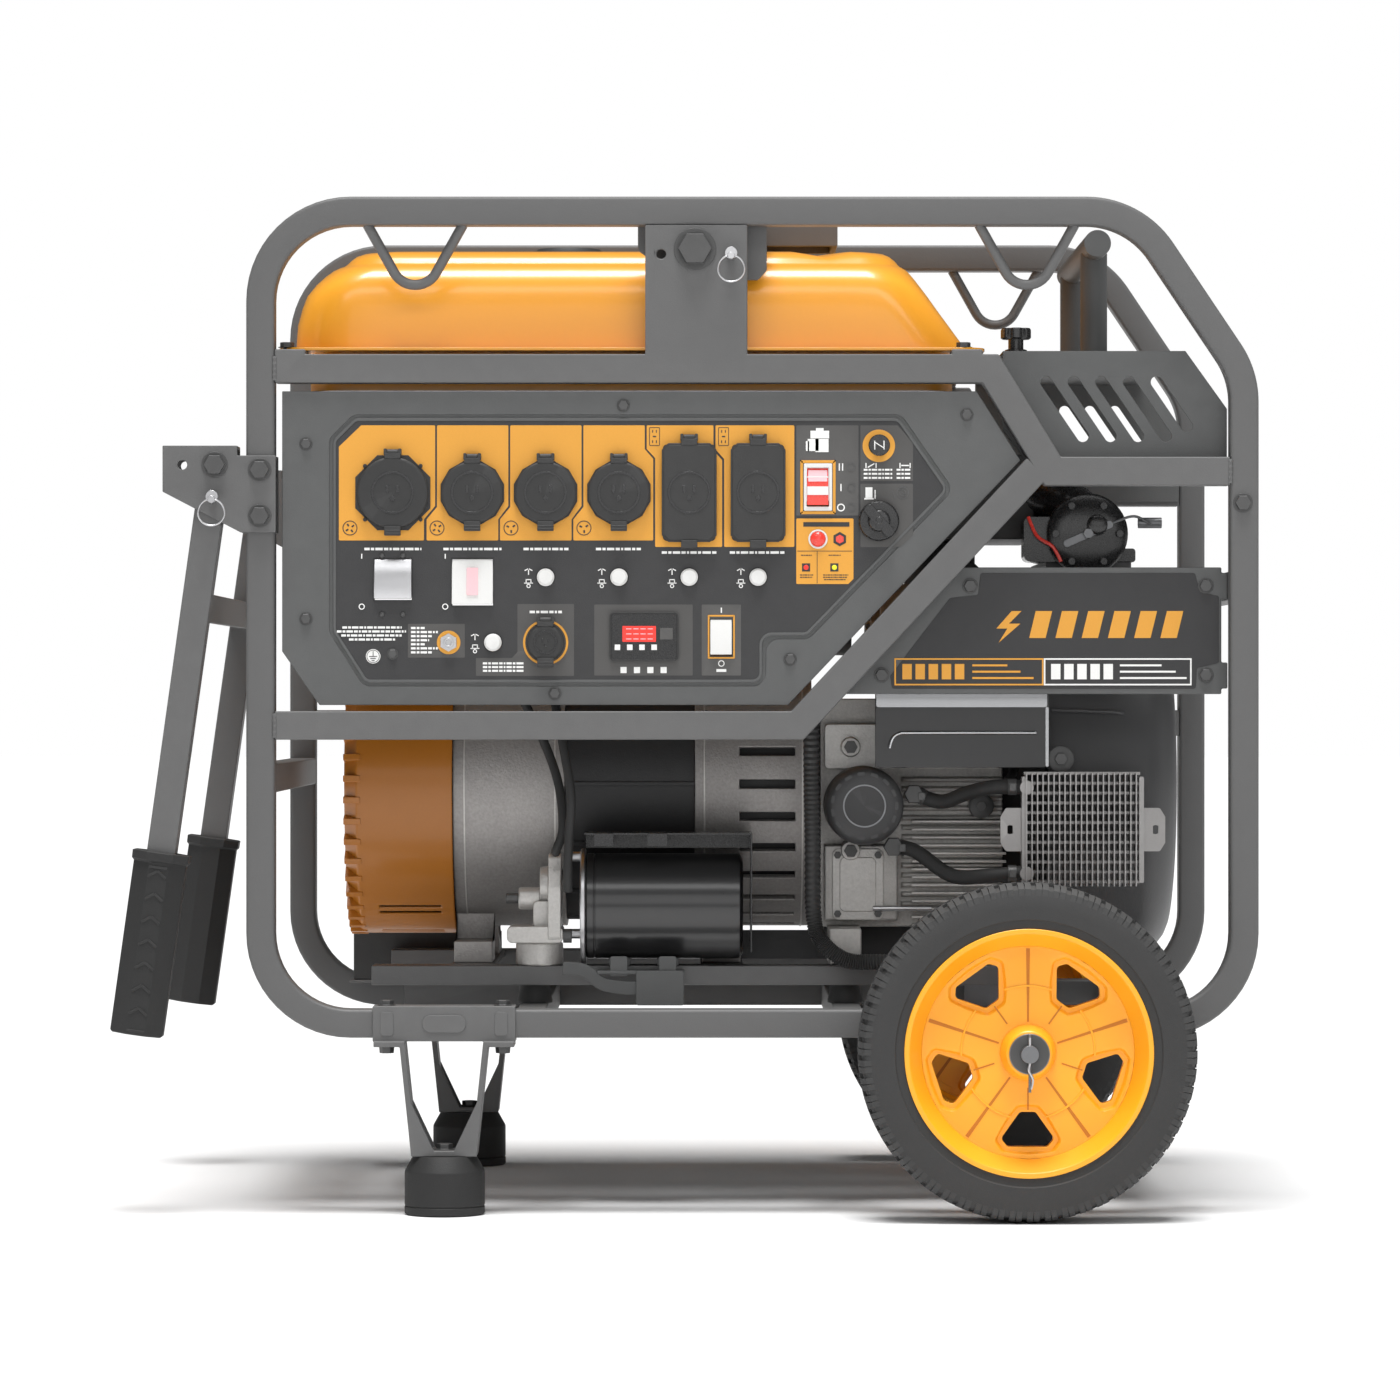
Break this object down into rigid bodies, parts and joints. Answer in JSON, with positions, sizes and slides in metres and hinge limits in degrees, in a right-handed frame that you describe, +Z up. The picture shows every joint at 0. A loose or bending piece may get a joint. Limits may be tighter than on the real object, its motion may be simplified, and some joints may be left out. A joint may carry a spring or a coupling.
{
  "type": "portable generator",
  "caption": "Wheeled tube-frame generator with a tank, an outlet panel, an engine with its alternator, a folding handle and a folding lift eye.",
  "frame": {"origin": "on the floor, under the centre of the part's bounding box", "axes": "+X along the frame's length towards the wheels, away from the folding handle; +Y from the control panel's side to the back; +Z up"},
  "size_m": [1.0464, 0.776, 0.927],
  "materials": {
    "frame_black": "satin powder coat with a fine grain",
    "panel_grey": "satin painted sheet steel",
    "moulded_black": "matt moulded plastic",
    "switch_white": "gloss moulded plastic",
    "switch_red": "gloss moulded plastic",
    "bright_metal": "bright plated steel",
    "tank_yellow": "gloss painted pressed steel",
    "rim_orange": "satin moulded rim",
    "rubber": "matt rubber",
    "tyre_rubber": "matt solid foam tyre",
    "cast_aluminium": "blasted die casting",
    "stator_black": "satin painted laminated steel",
    "shroud_black": "satin moulded shroud",
    "filter_black": "matt painted can",
    "cooler_fins": "mill finish fins",
    "muffler_steel": "heat-resistant matt paint",
    "shaft_steel": "turned steel",
    "bolt_black": "black oxide"
  },
  "bodies": {
    "root": {"front_loop": "frame_black", "back_loop": "frame_black", "frame_bars": "frame_black", "cord_hooks": "frame_black", "engine_base": "frame_black", "rubber_mounts": "rubber", "control_panel": "panel_grey", "panel_devices": "moulded_black", "fasteners": "bolt_black", "fuel_tank": "tank_yellow", "nameplate": "panel_grey", "vent_housing": "panel_grey", "alternator_cover": "tank_yellow", "alternator_castings": "cast_aluminium", "stator": "stator_black", "crankcase": "cast_aluminium", "cylinders": "cast_aluminium", "blower_housing": "shroud_black", "oil_filter": "filter_black", "oil_cooler": "cooler_fins", "hoses_and_cables": "rubber", "carburettor": "moulded_black", "muffler": "muffler_steel", "starter_motor": "bright_metal", "battery": "moulded_black", "axle": "shaft_steel", "leg_brackets": "frame_black", "rubber_feet": "rubber", "handle_brackets": "frame_black"},
    "wheel_front": {"tyre_front": "tyre_rubber", "rim_front": "rim_orange"},
    "wheel_back": {"tyre_back": "tyre_rubber", "rim_back": "rim_orange"},
    "handle": {"handle_frame": "frame_black", "handle_grips": "rubber"},
    "handle_pin_front": {"handle_pin_front": "bright_metal"},
    "handle_pin_back": {"handle_pin_back": "bright_metal"},
    "lift_arm": {"lift_arm": "frame_black"},
    "lift_pin": {"lift_pin": "bright_metal"},
    "outlet_cover_1": {"outlet_cover_1": "moulded_black"},
    "outlet_cover_2": {"outlet_cover_2": "moulded_black"},
    "outlet_cover_3": {"outlet_cover_3": "moulded_black"},
    "outlet_cover_4": {"outlet_cover_4": "moulded_black"},
    "duplex_cover_1": {"duplex_cover_1": "moulded_black"},
    "duplex_cover_2": {"duplex_cover_2": "moulded_black"},
    "dc_cover": {"dc_cover": "moulded_black"},
    "reset_button_1": {"reset_button_1": "switch_white"},
    "reset_button_2": {"reset_button_2": "switch_white"},
    "reset_button_3": {"reset_button_3": "switch_white"},
    "reset_button_4": {"reset_button_4": "switch_white"},
    "reset_button_5": {"reset_button_5": "switch_white"},
    "main_breaker": {"main_breaker": "bright_metal"},
    "second_breaker": {"second_breaker": "switch_white"},
    "engine_switch": {"engine_switch": "switch_red"},
    "eco_switch": {"eco_switch": "switch_white"},
    "choke_knob": {"choke_knob": "moulded_black"},
    "fuel_dial": {"fuel_dial": "moulded_black"},
    "fuel_cap": {"fuel_cap": "moulded_black"},
    "hood_knob": {"hood_knob": "moulded_black"},
    "rotor": {"rotor": "shaft_steel"}
  },
  "joints": [
    {"name": "wheel_front_spin", "type": "hinge", "parent": "root", "child": "wheel_front", "pos_m": [0.309, -0.34, 0.1525], "axis": [0, 1, 0], "continuous": true},
    {"name": "wheel_back_spin", "type": "hinge", "parent": "root", "child": "wheel_back", "pos_m": [0.309, 0.34, 0.1525], "axis": [0, 1, 0], "continuous": true},
    {"name": "handle_fold", "type": "hinge", "parent": "root", "child": "handle", "pos_m": [-0.4265, 0, 0.6825], "axis": [0, 1, 0], "range_deg": [0, 82]},
    {"name": "handle_pin_front_slide", "type": "slide", "parent": "root", "child": "handle_pin_front", "axis": [0, 1, 0], "range_m": [-0.014, 0.009]},
    {"name": "handle_pin_back_slide", "type": "slide", "parent": "root", "child": "handle_pin_back", "axis": [0, -1, 0], "range_m": [-0.014, 0.009]},
    {"name": "lift_arm_fold", "type": "hinge", "parent": "root", "child": "lift_arm", "pos_m": [0.0103, 0, 0.879], "axis": [0, -1, 0], "range_deg": [0, 90]},
    {"name": "lift_pin_slide", "type": "slide", "parent": "root", "child": "lift_pin", "axis": [0, 1, 0], "range_m": [-0.035, 0.007]},
    {"name": "outlet_cover_1_flip", "type": "hinge", "parent": "root", "child": "outlet_cover_1", "pos_m": [-0.265, -0.2825, 0.6944], "axis": [-1, 0, 0], "range_deg": [0, 105]},
    {"name": "outlet_cover_2_flip", "type": "hinge", "parent": "root", "child": "outlet_cover_2", "pos_m": [-0.1925, -0.2825, 0.6902], "axis": [-1, 0, 0], "range_deg": [0, 105]},
    {"name": "outlet_cover_3_flip", "type": "hinge", "parent": "root", "child": "outlet_cover_3", "pos_m": [-0.1258, -0.2825, 0.6902], "axis": [-1, 0, 0], "range_deg": [0, 105]},
    {"name": "outlet_cover_4_flip", "type": "hinge", "parent": "root", "child": "outlet_cover_4", "pos_m": [-0.059, -0.2825, 0.6902], "axis": [-1, 0, 0], "range_deg": [0, 105]},
    {"name": "duplex_cover_1_flip", "type": "hinge", "parent": "root", "child": "duplex_cover_1", "pos_m": [0.005, -0.2825, 0.7079], "axis": [-1, 0, 0], "range_deg": [0, 105]},
    {"name": "duplex_cover_2_flip", "type": "hinge", "parent": "root", "child": "duplex_cover_2", "pos_m": [0.0677, -0.2825, 0.7079], "axis": [-1, 0, 0], "range_deg": [0, 105]},
    {"name": "dc_cover_flip", "type": "hinge", "parent": "root", "child": "dc_cover", "pos_m": [-0.1258, -0.2825, 0.5415], "axis": [-1, 0, 0], "range_deg": [0, 105]},
    {"name": "reset_button_1_press", "type": "slide", "parent": "root", "child": "reset_button_1", "axis": [0, 1, 0], "range_m": [0, 0.003], "stiffness_N_per_m": 200},
    {"name": "reset_button_2_press", "type": "slide", "parent": "root", "child": "reset_button_2", "axis": [0, 1, 0], "range_m": [0, 0.003], "stiffness_N_per_m": 200},
    {"name": "reset_button_3_press", "type": "slide", "parent": "root", "child": "reset_button_3", "axis": [0, 1, 0], "range_m": [0, 0.003], "stiffness_N_per_m": 200},
    {"name": "reset_button_4_press", "type": "slide", "parent": "root", "child": "reset_button_4", "axis": [0, 1, 0], "range_m": [0, 0.003], "stiffness_N_per_m": 200},
    {"name": "reset_button_5_press", "type": "slide", "parent": "root", "child": "reset_button_5", "axis": [0, 1, 0], "range_m": [0, 0.003], "stiffness_N_per_m": 200},
    {"name": "main_breaker_rock", "type": "hinge", "parent": "root", "child": "main_breaker", "pos_m": [-0.265, -0.275, 0.5785], "axis": [-1, 0, 0], "range_deg": [0, 16]},
    {"name": "second_breaker_rock", "type": "hinge", "parent": "root", "child": "second_breaker", "pos_m": [-0.1925, -0.275, 0.576], "axis": [-1, 0, 0], "range_deg": [0, 16]},
    {"name": "engine_switch_rock", "type": "hinge", "parent": "root", "child": "engine_switch", "pos_m": [0.122, -0.275, 0.6625], "axis": [-1, 0, 0], "range_deg": [0, 16]},
    {"name": "eco_switch_rock", "type": "hinge", "parent": "root", "child": "eco_switch", "pos_m": [0.034, -0.275, 0.5255], "axis": [-1, 0, 0], "range_deg": [0, 16]},
    {"name": "choke_pull", "type": "slide", "parent": "root", "child": "choke_knob", "axis": [0, -1, 0], "range_m": [0, 0.025]},
    {"name": "fuel_dial_turn", "type": "hinge", "parent": "root", "child": "fuel_dial", "pos_m": [0.1778, -0.284, 0.6318], "axis": [0, 1, 0], "range_deg": [0, 90]},
    {"name": "fuel_cap_turn", "type": "hinge", "parent": "root", "child": "fuel_cap", "pos_m": [-0.111, 0, 0.895], "axis": [0, 0, -1], "range_deg": [0, 90]},
    {"name": "hood_knob_turn", "type": "hinge", "parent": "root", "child": "hood_knob", "pos_m": [0.305, -0.235, 0.8], "axis": [0, 0, 1], "continuous": true},
    {"name": "rotor_spin", "type": "hinge", "parent": "root", "child": "rotor", "pos_m": [0, 0, 0.39], "axis": [1, 0, 0], "continuous": true}
  ]
}
